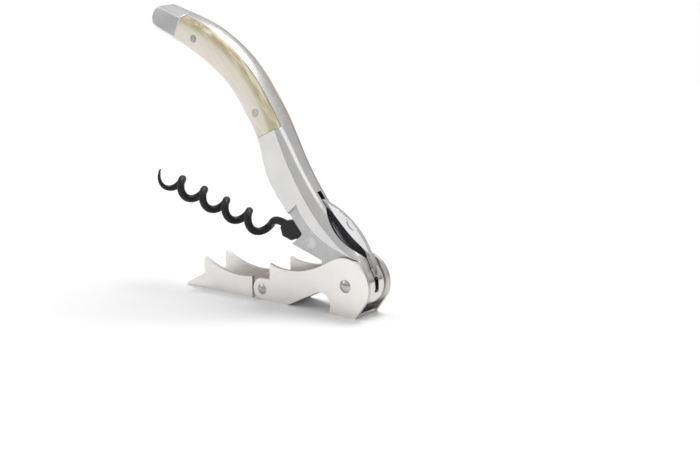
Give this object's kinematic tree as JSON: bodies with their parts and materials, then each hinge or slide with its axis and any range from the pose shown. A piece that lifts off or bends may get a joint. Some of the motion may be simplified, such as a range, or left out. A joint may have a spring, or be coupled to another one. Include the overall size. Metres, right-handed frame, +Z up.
{
  "type": "lever corkscrew",
  "caption": "Folding waiter's corkscrew: curved steel handle with bone scales, two-step sheet lever, coated worm and foil knife, standing open on its lever.",
  "frame": {"origin": "on the plane that the lever stands on, straight below the main pivot", "axes": "+X towards the pivot head, +Y across the lever's walls, +Z up; the lever's toe points to -X"},
  "size_m": [0.0933, 0.014, 0.0944],
  "materials": {
    "handle_steel": "polished stainless steel",
    "lever_steel": "satin stainless sheet",
    "blade_steel": "mirror polished hardened steel",
    "pin_steel": "polished steel pin and rivet ends",
    "bone": "satin polished bone, cream with an ochre edge",
    "coated_wire": "black non-stick coating, satin",
    "bronze": "plain turned washer"
  },
  "bodies": {
    "handle": {"handle_body": "handle_steel", "end_cap": "handle_steel", "cap_dowel": "pin_steel", "scale_left": "bone", "scale_right": "bone", "scale_pin_inner": "pin_steel", "scale_pin_outer": "pin_steel", "pivot_washer_left": "bronze", "pivot_washer_right": "bronze", "worm_pivot_pin": "pin_steel", "worm_spacer_left": "bronze", "worm_spacer_right": "bronze", "knife_pivot_pin": "pin_steel", "knife_spring": "blade_steel"},
    "lever": {"lever_first_stage": "lever_steel", "main_pivot_pin": "pin_steel", "step_rivet_left": "pin_steel", "step_rivet_right": "pin_steel"},
    "lever_step": {"lever_second_stage": "lever_steel"},
    "worm": {"worm": "coated_wire"},
    "knife": {"knife_blade": "blade_steel"}
  },
  "joints": [
    {"name": "lever_pivot", "type": "hinge", "parent": "handle", "child": "lever", "pos_m": [0, 0, 0.0102], "axis": [0, -1, 0], "range_deg": [-44.7, 50.8]},
    {"name": "step_hinge", "type": "hinge", "parent": "lever", "child": "lever_step", "pos_m": [-0.0342, 0, 0.0037], "axis": [0, -1, 0], "range_deg": [-4.5, 25]},
    {"name": "worm_pivot", "type": "hinge", "parent": "handle", "child": "worm", "pos_m": [-0.01493, 0, 0.02215], "axis": [0, -1, 0], "range_deg": [-38.55, 43.8]},
    {"name": "knife_pivot", "type": "hinge", "parent": "handle", "child": "knife", "pos_m": [0.00441, 0, 0.01427], "axis": [0, 1, 0], "range_deg": [0, 130]}
  ],
  "couplings": [
    {"joint": "worm_pivot", "follows": "lever_pivot", "ratio": 0.8613}
  ]
}
